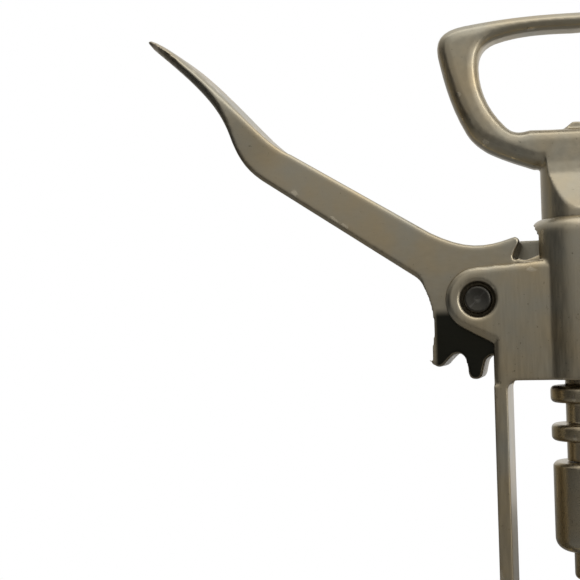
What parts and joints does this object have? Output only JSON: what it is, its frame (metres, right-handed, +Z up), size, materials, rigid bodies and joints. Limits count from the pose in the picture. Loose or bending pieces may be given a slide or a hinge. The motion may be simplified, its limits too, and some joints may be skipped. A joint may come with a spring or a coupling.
{
  "type": "wing corkscrew",
  "caption": "Wing corkscrew with geared levers, a ringed rack, a worm, a bell for the bottle's neck and a loop handle that lifts crown caps.",
  "frame": {"origin": "centre of the bell's bottom rim, where the tool stands on a bottle's shoulder", "axes": "+Z up the worm's axis to the handle, +X towards the right lever, front of the tool faces -Y"},
  "size_m": [0.1806, 0.039, 0.158],
  "materials": {
    "cast_frame": "satin antique nickel plating",
    "cast_lever": "satin antique nickel plating",
    "cast_handle": "satin antique nickel plating",
    "turned_rack": "turned, satin antique nickel plating",
    "pin_steel": "dark oxidised steel",
    "worm_steel": "polished steel",
    "liner_plastic": "moulded, fine matt"
  },
  "bodies": {
    "frame": {"frame": "cast_frame", "bell_liner": "liner_plastic", "left_pivot_pin": "pin_steel", "right_pivot_pin": "pin_steel"},
    "left_lever": {"left_lever": "cast_lever"},
    "right_lever": {"right_lever": "cast_lever"},
    "rack": {"rack_sleeve": "turned_rack"},
    "handle_and_worm": {"handle": "cast_handle", "spindle_rod": "worm_steel", "worm_collar": "turned_rack", "worm": "worm_steel"}
  },
  "joints": [
    {"name": "rack_slide", "type": "slide", "parent": "frame", "child": "rack", "axis": [0, 0, 1], "range_m": [-0.0074, 0.028]},
    {"name": "left_lever_hinge", "type": "hinge", "parent": "frame", "child": "left_lever", "pos_m": [-0.0197, 0, 0.079], "axis": [0, -1, 0], "range_deg": [-31.5, 118]},
    {"name": "right_lever_hinge", "type": "hinge", "parent": "frame", "child": "right_lever", "pos_m": [0.0197, 0, 0.079], "axis": [0, 1, 0], "range_deg": [-31.5, 118]},
    {"name": "handle_spin", "type": "hinge", "parent": "rack", "child": "handle_and_worm", "pos_m": [0, 0, 0.079], "axis": [0, 0, 1], "continuous": true}
  ],
  "couplings": [
    {"joint": "left_lever_hinge", "follows": "rack_slide", "rad_per_m": 73.099},
    {"joint": "right_lever_hinge", "follows": "rack_slide", "rad_per_m": 73.099}
  ]
}
